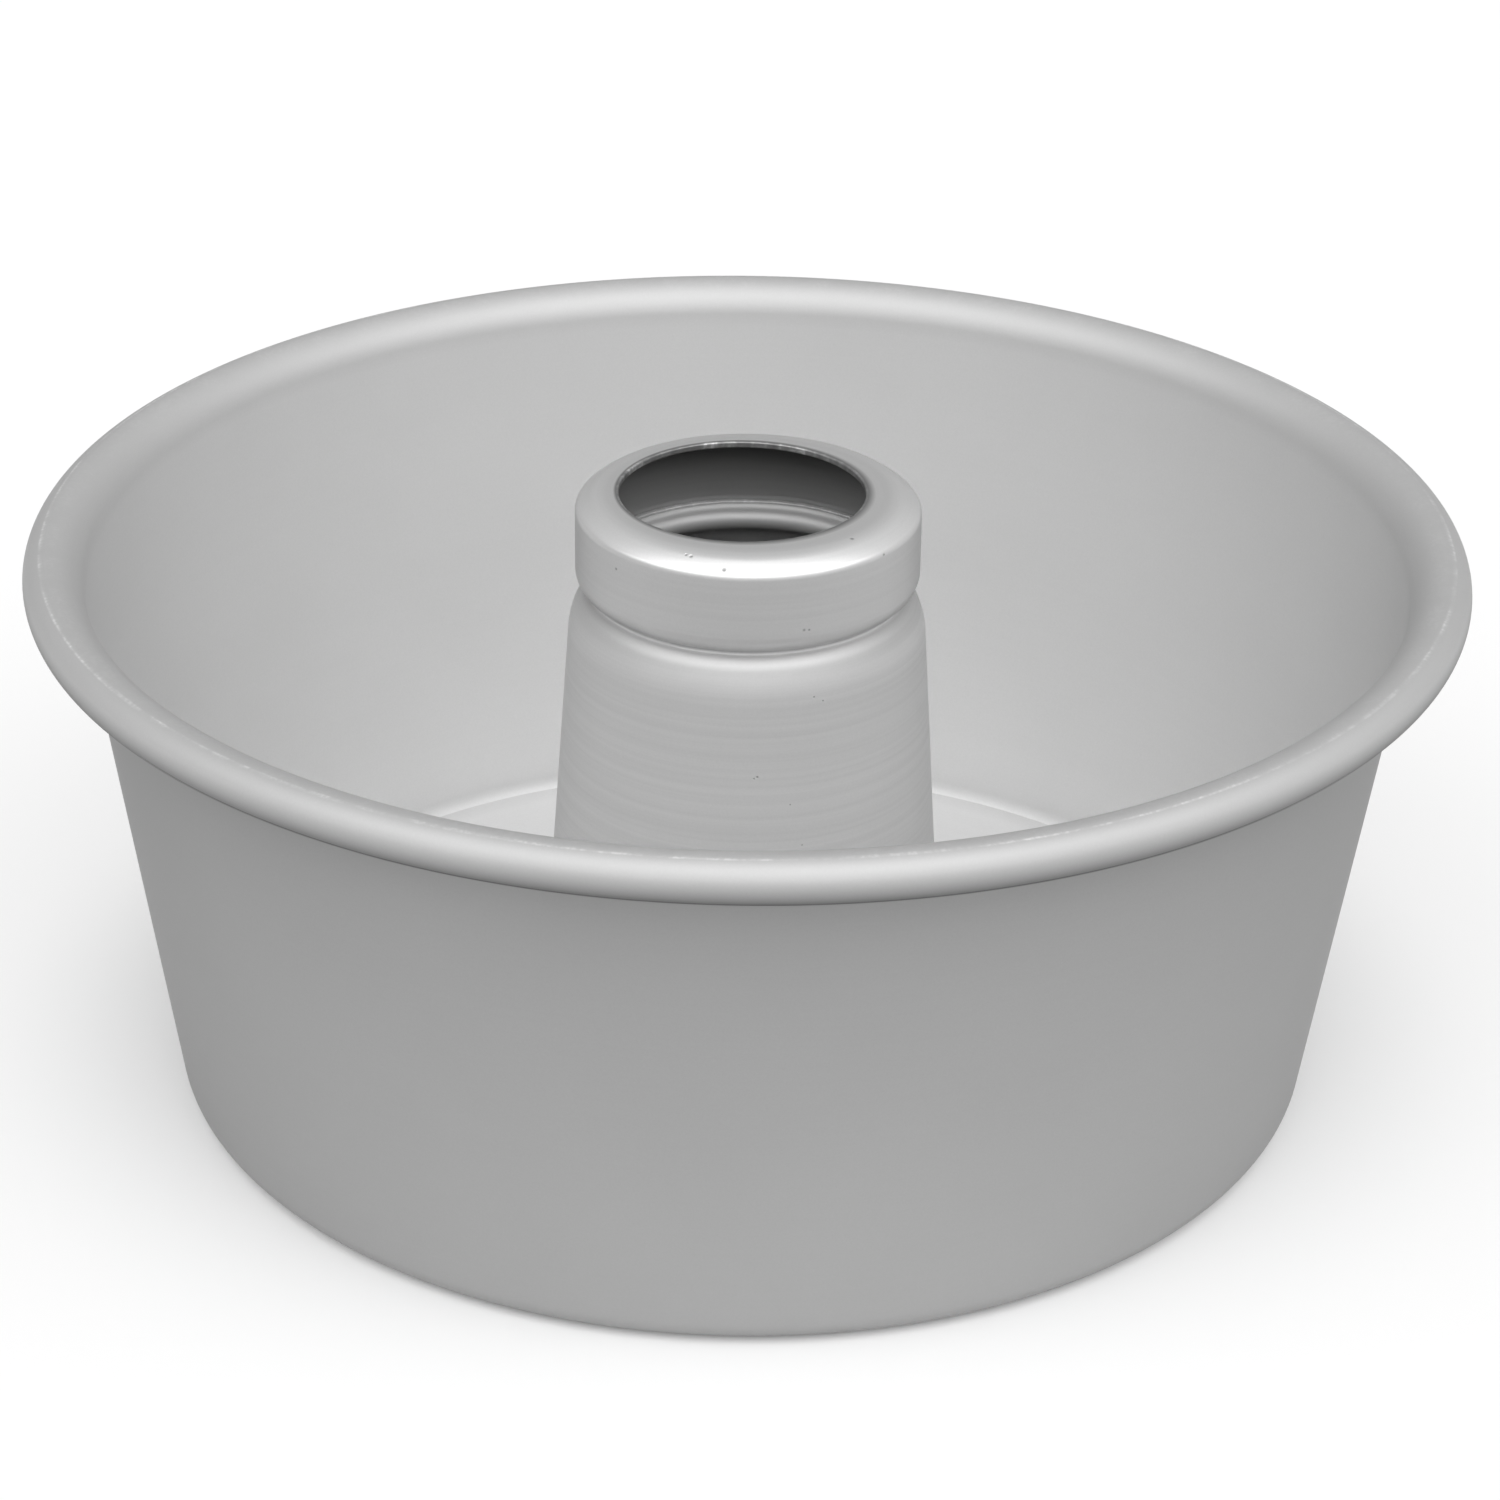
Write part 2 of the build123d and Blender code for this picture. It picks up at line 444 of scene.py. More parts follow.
def fold_outline(tube, collar, plate, sheet):
    """Flattened fold of the tube that lies on the plate, a half round between two flats."""
    shoulder = tube_places(tube, collar, sheet)[-1]
    fold_top = plate.top + 2.0 * sheet.thickness
    inner = cone_radius_at(fold_top, tube, shoulder) - sheet.thickness / 2.0
    outer = cone_radius_at(plate.top, tube, shoulder) + tube.fold_reach - sheet.thickness
    edge = bend_points((outer, plate.top + sheet.thickness), sheet.thickness, 90.0, -180.0)
    ends = np.array([[inner, fold_top]]), np.array([[inner, plate.top]])
    return with_runs([ends[0], edge, ends[1]])


# The collar's corner, from the wall up: the tilt above straight outwards at which each of its
# curves starts, and the curve's outer radius in metres. The last one runs out in the flat top.
CORNER_CURVES = ((0.0, 0.0018), (48.0, 0.011), (62.0, 0.004), (79.0, 0.012))


def corner_bends(collar):
    """The corner's curves from the top down, their centres worked out from the wall."""
    ends = [tilt for tilt, _ in CORNER_CURVES[1:]] + [90.0]
    drop = sum(
        radius * (math.sin(math.radians(end)) - math.sin(math.radians(start)))
        for (start, radius), end in zip(CORNER_CURVES, ends)
    )
    bends, before = [], 0.0
    centre = (collar.radius, collar.top - drop)
    for (start, radius), end in zip(CORNER_CURVES, ends):
        centre = on_circle(centre, before - radius, start)
        bends.append((centre, radius, end, start - end))
        before = radius
    return bends[::-1]


def collar_outline(collar):
    """Flat top with its opening, rounded corner, upright wall and rolled-in lower lip."""
    corner = corner_bends(collar)
    lip = (roll_centre(collar), collar.roll_radius, 0.0, -math.degrees(collar.roll_turn))
    return bent_sheet([*corner, lip], corner[0][0][0] - collar.opening_radius)


# Tones: painted light and shade, how bright the finish is painted at each point of an outline,
# beside the piece's own colour

# Painted light and shade on the shell: its inside, painted brightest at its foot, fades between
# these heights over the table; its outside turns to a painted shadow this far under the rim; and
# its curl is painted by its tilt, between these tilts above straight outwards. Points within
# CURL_SKIN of the curl's circle are on its outside.
INSIDE_FADES = (0.012, 0.055)
CREASE_FADE = 0.004
CURL_FADES = (-45.0, -8.0, 24.0, 90.0)
CURL_SKIN = 0.0002

# Painted shade by the shell's wall: where the bottom turns greyer, in from its edge, and the edge's
# shaded tone
PLATE_FADES = (0.0045, 0.001)
PLATE_EDGE_PAINTED_SHADE = 0.93

# The tube's painted light and shade change at these heights over the centres of its shoulder, its
# tighter curve and its groove, and inside at these heights over its raw edge: painted shade where
# the shoulder turns in, painted light in the groove, and painted shade inside, darker down the bore
SHOULDER_FADE = 0.004
END_FADES = (0.001, 0.0037)
GROOVE_FADES = (-0.0006, -0.0003, 0.0003)
PAINTED_GROOVE_LIGHT = 1.2
BORE_FADES = (-0.024, -0.009, 0.0)
RAW_EDGE_SHADE = 0.8

# The collar's painted light and shade change this far in from its outside on top, at these heights
# over its foot on the wall, and over the centre of its roll inside: painted shade on the flat top
# and inside, and painted light at the lip
TOP_FADE = 0.0015
LIP_FADES = (0.0006, 0.0016)
LINING_FADES = (-0.0024, -0.0016)
PAINTED_LIP_LIGHT = 1.2

# Wandering lines: how many waves go round the axis, the seed of their heights and phases, and
# the least and greatest height
Waves = namedtuple("Waves", "counts seed")
WEAR_WAVES = Waves((3, 7, 12), 5)
RIPPLE_WAVES = Waves((5, 11, 23, 37), 11)
BURR_WAVES = Waves((9, 17, 31, 44, 61), 23)
RAW_EDGE_WAVES = Waves((13, 23, 37, 52, 71), 31)
WAVE_HEIGHTS = (0.4, 1.0)

# The burr is strongest at this angle round the axis, and swings by this much about its middle
BURR_PEAK = math.radians(140.0)
BURR_MIDDLE = 0.62
BURR_SWING = 0.38


def shell_painted_shading(outline, sizes, looks):
    """Painted light and shade: an inside painted brightest at its foot, a crown painted greyer, and
    an outside painted darker, darkest in the crease under the rim.

    On the curl the painted tone follows the tilt above straight outwards, and elsewhere the height.
    """
    radius, height = outline.T
    rim = sizes.rim_radius - sizes.bead_radius, sizes.height - sizes.bead_radius
    tilt = np.degrees(np.arctan2(height - rim[1], radius - rim[0]))
    on_curl = np.hypot(radius - rim[0], height - rim[1]) > sizes.bead_radius - CURL_SKIN
    under = sizes.height - 2.0 * sizes.bead_radius
    steps = [*INSIDE_FADES, under, sizes.height]
    inside = np.interp(height, steps, [1.0, looks.upper_tone, looks.upper_tone, looks.crown_tone])
    # Painted shade on the curl, by its tilt
    tones = [looks.crease_tone, looks.outside_tone, looks.crown_tone, looks.crown_tone]
    curl = np.interp(tilt, CURL_FADES, tones)
    steps = [sizes.heel_radius, under - CREASE_FADE, under]
    # Painted shade on the outside wall: the rim's shadow under it, darkest in the crease
    outside = np.interp(height, steps, [looks.foot_tone, looks.outside_tone, looks.crease_tone])
    past = np.arange(len(outline)) > np.argmax(height)
    return np.where(past, np.where(on_curl & (tilt > -90.0), curl, outside), inside)


def plate_painted_shading(outline, sizes):
    """The bottom's own colour, with painted shade that makes it a little greyer along its edge."""
    steps = [sizes.edge_radius - inset for inset in PLATE_FADES]
    return np.interp(outline[:, 0], steps, [1.0, PLATE_EDGE_PAINTED_SHADE])


def tube_painted_shading(outline, places, groove_height, looks):
    """The outside's own colour, with painted shade where the shoulder turns in, painted light in
    the groove, and an inside painted dark as shade.

    The inside's painted shade gets darker down from the neck. The flange's tip is where the inside
    starts.
    """
    height = outline[:, 1]
    end, shoulder = (centre[1] for centre in places[3:])
    on_end, on_groove = np.add(end, END_FADES), np.add(groove_height, GROOVE_FADES)
    steps = [shoulder + SHOULDER_FADE, *on_end, *on_groove]
    # Painted shade on the shoulder, and painted light in the groove
    turned_in = looks.shoulder_tone
    greyer = (1.0 + turned_in) / 2.0
    outside = np.interp(height, steps, [1.0, greyer, turned_in, turned_in, PAINTED_GROOVE_LIGHT, 1.0])
    # Painted shade inside the bore: darkest farther down, and greyer at the raw edge
    steps = np.add(height.max(), BORE_FADES)
    raw_edge = RAW_EDGE_SHADE * looks.neck_tone
    raw = np.interp(height, steps, [looks.bore_tone, looks.neck_tone, raw_edge])
    past = np.arange(len(outline)) > np.argmax(outline[:, 0])
    return np.where(past, raw, outside)


def collar_painted_shading(outline, collar, looks):
    """The wall's own colour, a flat top painted greyer as shade, a lip painted brighter as light
    against its crevice's shade, and an inside painted dark as shade.

    The inside's painted shade is darkest under the top.
    """
    corner = corner_bends(collar)
    flat_end, wall_top = corner[0][0][0], corner[-1][0][1]
    radius, height = outline.T
    # Painted shade greys the flat top, and painted light brightens the lip's edge
    top = np.interp(radius, [flat_end, collar.radius - TOP_FADE], [looks.top_tone, 1.0])
    low = collar.top - collar.height
    wall = np.interp(height, np.add(low, LIP_FADES), [PAINTED_LIP_LIGHT, 1.0])
    # Painted shade inside the collar, darkest under its top
    steps = [*np.add(low + collar.roll_radius, LINING_FADES), wall_top]
    lining = np.interp(height, steps, [PAINTED_LIP_LIGHT, looks.lip_tone, looks.lining_tone])
    past = np.arange(len(outline)) > np.argmin(height)
    return np.where(past, lining, np.where(height > wall_top, top, wall))


def burr(radius, height, around, collar, sheet):
    """How bright the raw edge of the opening is: a thin line that comes and goes round it.

    It is 1 on the edge's rounding and 0 from the row that holds the flat top on. Round the edge it
    follows a wandering line, on a hump that is highest at the back left.
    """
    reach = radius - opening_edge(around, collar)
    line = np.clip(HOLD_REACH - reach / sheet.edge_round, 0.0, 1.0)
    hump = BURR_MIDDLE + BURR_SWING * np.cos(around - BURR_PEAK)
    on_top = height > collar.top - sheet.thickness
    return line * comes_and_goes(around, BURR_WAVES) * hump * on_top


# Surfaces

# How deep the collar's flat top goes, in thicknesses of the sheet
TOP_REACH = 1.5


def turned_grid(outline, segments):
    """Radius, height and angle on a grid: rows follow the outline and columns go round the axis."""
    around = np.linspace(0.0, 2.0 * math.pi, segments, endpoint=False)
    radius = np.repeat(outline[:, :1], segments, axis=1)
    height = np.repeat(outline[:, 1:], segments, axis=1)
    return radius, height, np.broadcast_to(around, radius.shape)


def wander(around, size, waves):
    """A closed wandering line: a sine for each count of waves, of a seeded height and phase."""
    chance = np.random.default_rng(waves.seed)
    line = np.zeros_like(around)
    for count in waves.counts:
        height, phase = chance.uniform(*WAVE_HEIGHTS), chance.uniform(0.0, 2.0 * math.pi)
        line += height * np.sin(count * around + phase)
    return size * line / math.sqrt(len(waves.counts))


def comes_and_goes(around, waves):
    """A share that wanders about a half, and is held from 0 to 1."""
    return np.clip(0.5 + wander(around, 0.5, waves), 0.0, 1.0)


def opening_edge(around, collar):
    """The opening's distance from the axis, which its circle doesn't have for a centre.

    It is c cos a + sqrt(R^2 - c^2 sin^2 a), for an opening of radius R set off by c, at the angle a
    from the way that it is set off.
    """
    offset = math.hypot(collar.opening_offset, collar.opening_setback)
    turn = around - math.atan2(collar.opening_setback, collar.opening_offset)
    return offset * np.cos(turn) + np.sqrt(collar.opening_radius**2 - (offset * np.sin(turn)) ** 2)


def set_off_opening(radius, height, around, collar, sheet):
    """Moves the flat top's inner edge onto the opening's circle, which stands off the axis.

    The edge's rounding and the row that holds it move as one. From there on, a point of the flat
    top moves by its share of the way from the corner to the edge.
    """
    edge_of_flat = corner_bends(collar)[0][0][0]
    start = collar.opening_radius + HOLD_REACH * sheet.edge_round
    way_in = np.clip((edge_of_flat - radius) / (edge_of_flat - start), 0.0, 1.0)
    on_top = height > collar.top - TOP_REACH * sheet.thickness
    move = opening_edge(around, collar) - collar.opening_radius
    return radius + np.where(on_top, way_in, 0.0) * move


def grid_faces(rows, columns, base):
    """Four corners of each cell of a grid that closes on itself both ways, counted from a base.

    They go along the outline first, which turns the face away from the metal on the path's right.
    """
    row, column = np.indices((rows, columns))
    next_row, next_column = (row + 1) % rows, (column + 1) % columns
    corners = [
        row * columns + column, next_row * columns + column,
        next_row * columns + next_column, row * columns + next_column,
    ]
    return base + np.stack(corners, axis=-1).reshape(-1, 4)


def grid_layout(points):
    """Texture places of each cell's corners: share of the turn, and metres along the outline."""
    rows, columns = points.shape[:2]
    steps = np.linalg.norm(np.roll(points[:, 0], -1, axis=0) - points[:, 0], axis=1)
    along = np.r_[0.0, np.cumsum(steps)]
    row, column = np.indices((rows, columns))
    turn = np.stack([column, column, column + 1, column + 1], axis=-1) / columns
    run = along[np.stack([row, row + 1, row + 1, row], axis=-1)]
    return np.stack([turn, run], axis=-1).reshape(-1, 2)


def grid_normals(points):
    """Unit normals: the cross product of the ways along the outline and round the axis."""
    along = np.roll(points, -1, axis=0) - np.roll(points, 1, axis=0)
    turning = np.roll(points, -1, axis=1) - np.roll(points, 1, axis=1)
    normals = np.cross(along, turning)
    return normals / np.linalg.norm(normals, axis=-1, keepdims=True)


def surface_mesh(name, grids, tone, wear=0.0):
    """A mesh of closed grids of points, with its own normals, texture places and two marks.

    The marks are given for the first grid. Tone, a value for each row, is the painted light and
    shade: how bright the finish is painted beside the piece's colour. Wear, one for each point, is
    how far the satin is rubbed off.
    """
    points = np.vstack([grid.reshape(-1, 3) for grid in grids])
    bases = np.r_[0, np.cumsum([grid.shape[0] * grid.shape[1] for grid in grids])]
    faces = np.vstack([grid_faces(*grid.shape[:2], base) for grid, base in zip(grids, bases)])
    mesh = bpy.data.meshes.new(name)
    mesh.vertices.add(len(points))
    mesh.vertices.foreach_set("co", points.ravel())
    mesh.loops.add(faces.size)
    mesh.loops.foreach_set("vertex_index", faces.ravel())
    mesh.polygons.add(len(faces))
    mesh.polygons.foreach_set("loop_start", np.arange(0, faces.size, 4))
    mesh.polygons.foreach_set("use_smooth", np.ones(len(faces), bool))
    mesh.update(calc_edges=True)
    layout = mesh.uv_layers.new(name="turning")
    layout.uv.foreach_set("vector", np.vstack([grid_layout(grid) for grid in grids]).ravel())
    for mark, values, plain in (("tone", tone[:, None], 1.0), ("wear", wear, 0.0)):
        shares = np.full(len(points), plain)
        shares[:bases[1]] = np.broadcast_to(values, grids[0].shape[:2]).ravel()
        mesh.attributes.new(mark, "FLOAT", "POINT").data.foreach_set("value", shares)
    normals = np.vstack([grid_normals(grid).reshape(-1, 3) for grid in grids])
    mesh.normals_split_custom_set_from_vertices(normals)
    return mesh


def in_space(radius, height, around):
    """Points from distance to the axis, height and angle."""
    return np.stack([radius * np.cos(around), radius * np.sin(around), height], axis=-1)


def place(mesh, node, material, slot):
    """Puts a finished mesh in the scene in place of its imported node, on the node's body."""
    mesh.materials.append(material)
    piece = bpy.data.objects.new(mesh.name, mesh)
    bpy.context.scene.collection.objects.link(piece)
    bodies = frame["record"]["behaviour"]["bodies"]
    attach(piece, next(body for body, nodes in bodies.items() if node in nodes))
    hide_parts(node)


# Materials

# Noise, by the names of the node's inputs: the scale is in waves to the metre
Noise = namedtuple("Noise", "Scale Detail Roughness")
LINE_NOISE = Noise(1.0, 2.0, 0.6)
GRAIN = Noise(2600.0, 1.0, 0.5)
CLOUDS = Noise(24.0, 2.0, 0.5)
WEAR_PATCHES = Noise(160.0, 2.0, 0.6)
WEAR_SPECKS = Noise(1100.0, 1.0, 0.5)

# What part of a noise counts, and what it is spread to
NOISE_RANGE = (0.25, 0.75)
FAINT = (0.985, 1.015)
PATCH_SPREAD = (0.40, 0.62, 0.12, 0.62)
SPECK_SPREAD = (0.42, 0.66, 0.60, 1.50)

# Depths of grain and pits, the tone in a pit, and how much less matt rubbed metal is
GRAIN_DEPTH = 1.5e-6
PIT_DEPTH = 0.00012
PIT_TONE = 0.45
RUBBED_GLOSS = 0.12

# Turning lines: how fast they change round the axis and along the outline, contrast and depth
Turning = namedtuple("Turning", "stretch fineness contrast depth")
SHELL_LINES = Turning(0.8, 900.0, 0.004, 0.4e-6)
BOTTOM_LINES = Turning(0.8, 900.0, 0.008, 1.5e-6)
TUBE_LINES = Turning(0.25, 850.0, 0.042, 4.0e-6)
COLLAR_LINES = Turning(0.3, 1000.0, 0.025, 2.5e-6)

# The floor's glow rises from none to its full share between these distances from the axis
GLOW_RISE = (0.085, 0.155)


class Graph:
    """A short way to write the nodes of a material or a world."""

    def __init__(self, tree):
        self.tree = tree

    def add(self, kind, *values, **settings):
        """A node of a kind with its settings, whose first inputs are fed with the values."""
        node = self.tree.nodes.new(kind)
        for key, value in settings.items():
            setattr(node, key, value)
        return self.feed(node, dict(enumerate(values)))

    def feed(self, node, inputs):
        """Sets inputs of a node, by name or place, to values, or links them to sockets."""
        for key, value in inputs.items():
            if isinstance(value, bpy.types.NodeSocket):
                self.tree.links.new(value, node.inputs[key])
            else:
                node.inputs[key].default_value = value
        return node

    def math(self, operation, *values):
        """A sum, product or other operation on numbers."""
        return self.add("ShaderNodeMath", *values, operation=operation).outputs[0]

    def vector(self, operation, *values):
        """An operation on vectors."""
        return self.add("ShaderNodeVectorMath", *values, operation=operation)

    def spot(self):
        """Where a point is in space."""
        return self.add("ShaderNodeTexCoord").outputs["Object"]

    def noise(self, place, kind):
        """Noise of a kind about a half at a place."""
        node = self.add("ShaderNodeTexNoise", place, noise_dimensions="3D")
        return self.feed(node, kind._asdict()).outputs["Fac"]

    def mark(self, name):
        """A mark of the mesh."""
        return self.add("ShaderNodeAttribute", attribute_name=name).outputs["Fac"]

    def spread(self, value, low, high, new_low, new_high, smooth=False):
        """Maps a range onto another, held at its ends."""
        kind = "SMOOTHSTEP" if smooth else "LINEAR"
        values = value, low, high, new_low, new_high
        node = self.add("ShaderNodeMapRange", *values, interpolation_type=kind, clamp=True)
        return node.outputs[0]


def new_material(name):
    """A material with nodes, and the graph that writes them."""
    material = bpy.data.materials.new(name)
    material.use_nodes = True
    return material, Graph(material.node_tree)


def turning_place(graph, turning):
    """Where the turning lines are read: round the axis slowly, and along the outline finely.

    The direction from the axis, a unit vector, times the stretch gives a place that closes on
    itself after a turn. The metres along the outline times the fineness give its third number.
    """
    split = graph.add("ShaderNodeSeparateXYZ", graph.spot()).outputs
    flat = graph.add("ShaderNodeCombineXYZ", split[0], split[1])
    unit = graph.vector("NORMALIZE", flat.outputs[0]).outputs[0]
    slow = graph.vector("MULTIPLY", unit, (turning.stretch, turning.stretch, 0.0)).outputs[0]
    layout = graph.add("ShaderNodeUVMap", uv_map="turning")
    run = graph.add("ShaderNodeSeparateXYZ", layout.outputs[0]).outputs[1]
    run = graph.math("MULTIPLY", run, turning.fineness)
    fine = graph.add("ShaderNodeCombineXYZ", 0.0, 0.0, run)
    return graph.vector("ADD", slow, fine.outputs[0]).outputs[0]


def marks(graph, spots):
    """Height of the deepest of some round pits: 1 in the middle of one, and 0 away from them."""
    place, deepest = graph.spot(), None
    for centre, size in spots:
        away = graph.vector("DISTANCE", place, tuple(centre)).outputs["Value"]
        pit = graph.spread(away, 0.0, size, 1.0, 0.0, smooth=True)
        deepest = pit if deepest is None else graph.math("MAXIMUM", deepest, pit)
    return deepest


def satin_aluminium(name, colour, roughness, turning, looks, spots=()):
    """Anodised aluminium with turning lines, grain, cloudy tone, rubbed edges and small pits, and
    the mesh's painted light and shade.
    """
    material, graph = new_material(name)
    shader = graph.tree.nodes["Principled BSDF"]
    graph.feed(shader, {
        "Metallic": looks.metallic, "Specular IOR Level": looks.sheen,
        "Specular Tint": (looks.edge_tint,) * 3 + (1.0,),
        "Coat Weight": looks.coat, "Coat Roughness": looks.coat_roughness,
    })
    spot = graph.spot()
    lines = graph.noise(turning_place(graph, turning), LINE_NOISE)
    grain = graph.noise(spot, GRAIN)
    cloud = graph.noise(spot, CLOUDS)
    tone = graph.spread(lines, *NOISE_RANGE, 1.0 - turning.contrast, 1.0 + turning.contrast)
    tone = graph.math("MULTIPLY", tone, graph.spread(cloud, *NOISE_RANGE, *FAINT))
    tone = graph.math("MULTIPLY", tone, graph.spread(grain, *NOISE_RANGE, *FAINT))
    height = graph.math("MULTIPLY", lines, turning.depth)
    height = graph.math("ADD", height, graph.math("MULTIPLY", grain, GRAIN_DEPTH))
    if spots:
        pits = marks(graph, spots)
        tone = graph.math("MULTIPLY", tone, graph.spread(pits, 0.0, 1.0, 1.0, PIT_TONE))
        height = graph.math("SUBTRACT", height, graph.math("MULTIPLY", pits, PIT_DEPTH))
    # The mesh's tone mark is painted light and shade, multiplied into the colour
    toned = graph.vector("SCALE", tuple(colour))
    graph.feed(toned, {"Scale": graph.math("MULTIPLY", tone, graph.mark("tone"))})
    patchy = graph.spread(graph.noise(spot, WEAR_PATCHES), *PATCH_SPREAD)
    specks = graph.spread(graph.noise(spot, WEAR_SPECKS), *SPECK_SPREAD)
    rubbed = graph.math("MULTIPLY", graph.mark("wear"), graph.math("MULTIPLY", patchy, specks))
    bright = graph.add("ShaderNodeMix", data_type="RGBA")
    graph.feed(bright, {"Factor": rubbed, "A": toned.outputs[0], "B": (*looks.worn_colour, 1.0)})
    rough = graph.math("SUBTRACT", roughness, graph.math("MULTIPLY", rubbed, RUBBED_GLOSS))
    bump = graph.feed(graph.add("ShaderNodeBump"), {"Distance": 1.0, "Height": height})
    graph.feed(shader, {
        "Base Color": bright.outputs["Result"], "Roughness": rough, "Normal": bump.outputs[0],
    })
    return material


def floor_material(colour, glow):
    """White floor whose shadow is lightened by a glow, and which isn't there from below.

    The glow is a share of plain white, for the camera and for reflections. It rises with the
    distance from the axis, so the pan's foot keeps its shadow. Under the loose bottom the floor
    also lets light through, so a look from below shows the metal.
    """
    material, graph = new_material("studio_floor")
    nodes = graph.tree.nodes
    nodes.remove(nodes["Principled BSDF"])
    matt = graph.add("ShaderNodeBsdfDiffuse", (*colour, 1.0)).outputs[0]
    lit = graph.add("ShaderNodeEmission", (1.0,) * 4, 1.0).outputs[0]
    shown = graph.add("ShaderNodeLightPath").outputs
    seen = graph.math("MAXIMUM", shown["Is Camera Ray"], shown["Is Glossy Ray"])
    seen = graph.math("MAXIMUM", seen, shown["Is Transmission Ray"])
    away = graph.vector("LENGTH", graph.spot()).outputs["Value"]
    rise = graph.spread(away, *GLOW_RISE, 0.0, glow, smooth=True)
    mixed = graph.add("ShaderNodeMixShader", graph.math("MULTIPLY", seen, rise), matt, lit)
    below = graph.add("ShaderNodeNewGeometry").outputs["Backfacing"]
    under = graph.math("GREATER_THAN", away, float(PLATE[0]))
    under = graph.math("MULTIPLY", under, graph.math("LESS_THAN", away, float(PLATE[1])))
    unseen = graph.math("SUBTRACT", 1.0, shown["Is Camera Ray"])
    gone = graph.math("MAXIMUM", below, graph.math("MULTIPLY", under, unseen))
    clear = graph.add("ShaderNodeBsdfTransparent").outputs[0]
    whole = graph.add("ShaderNodeMixShader", gone, mixed.outputs[0], clear)
    graph.feed(nodes["Material Output"], {"Surface": whole.outputs[0]})
    return material


# Pieces

# Small pits and marks: degrees round the axis, distance from it, height and size
COLLAR_PITS = (
    (-97.8, 0.03070, 0.11325, 0.00065), (-112.3, 0.02897, 0.11435, 0.00040),
    (-110.3, 0.02911, 0.11428, 0.00048), (-46.7, 0.02724, 0.11480, 0.00058),
    (-71.2, 0.03190, 0.10140, 0.00042), (-69.5, 0.03190, 0.10130, 0.00036),
    (-137.8, 0.03190, 0.10891, 0.00038), (-39.7, 0.03182, 0.11193, 0.00036),
)
TUBE_MARKS = (
    (-86.2, 0.03418, 0.07371, 0.00034), (-87.2, 0.03420, 0.07340, 0.00026),
    (-68.3, 0.03317, 0.08841, 0.00026), (-65.3, 0.03327, 0.08739, 0.00024),
    (-76.1, 0.03457, 0.06791, 0.00022), (-72.4, 0.03512, 0.05962, 0.00022),
)

# Angles round the axis on the grids of the wide and the narrow pieces
WIDE_SEGMENTS = 288
NARROW_SEGMENTS = 224

# How far the rubbed line on the rim wanders, and how strong the lightly rubbed band is beside it
WEAR_WANDER = 0.00012
DULL_SHARE = 0.10

# How far down from the tube's raw edge its ripple reaches, in thicknesses of the sheet, how far
# down the edge is rubbed, and how much
RIPPLE_REACH = 3.0
RAW_EDGE_HEIGHT = 0.0006
RAW_EDGE_WEAR = 0.6


def spots_at(table):
    """Places in space and sizes of the pits in a table."""
    degrees, radius, height, size = np.array(table).T
    return list(zip(in_space(radius, height, np.radians(degrees)).tolist(), size.tolist()))


class CAKEPAN_OT_shell(Operator):
    """Build the spun shell with its tapered wall and hollow rolled rim"""

    bl_idname = "cakepan.shell"
    bl_label = "Shell"

    def execute(self, context):
        scene = context.scene
        sizes, sheet, looks = scene.pan_shell, scene.pan_sheet, scene.pan_finish
        outline = shell_outline(sizes, sheet)
        radius, height, around = turned_grid(outline, WIDE_SEGMENTS)
        wandering = wander(around, WEAR_WANDER, WEAR_WAVES)
        worn_radius = sizes.rim_radius - sizes.wear_inset + wandering
        on_rim = height > sizes.height - sizes.bead_radius
        line = np.exp(-(((radius - worn_radius) / sizes.wear_width) ** 2))
        band = np.exp(-(((radius - worn_radius + sizes.dull_width) / sizes.dull_width) ** 2))
        wear = (line + DULL_SHARE * band) * on_rim
        tone = shell_painted_shading(outline, sizes, looks)
        mesh = surface_mesh("spun_shell", [in_space(radius, height, around)], tone, wear)
        finish = satin_aluminium(
            "satin_shell", looks.shell_colour, looks.shell_roughness, SHELL_LINES, looks,
        )
        place(mesh, "pan_body", finish, "satin_aluminium")
        return {"FINISHED"}


class CAKEPAN_OT_bottom(Operator):
    """Build the loose bottom plate"""

    bl_idname = "cakepan.bottom"
    bl_label = "Loose bottom"

    def execute(self, context):
        scene = context.scene
        sizes, looks = scene.pan_plate, scene.pan_finish
        outline = plate_outline(sizes)
        grid = in_space(*turned_grid(outline, WIDE_SEGMENTS))
        mesh = surface_mesh("loose_bottom", [grid], plate_painted_shading(outline, sizes))
        finish = satin_aluminium(
            "satin_bottom", looks.shell_colour, looks.plate_roughness, BOTTOM_LINES, looks,
        )
        place(mesh, "base_plate", finish, "satin_aluminium")
        return {"FINISHED"}


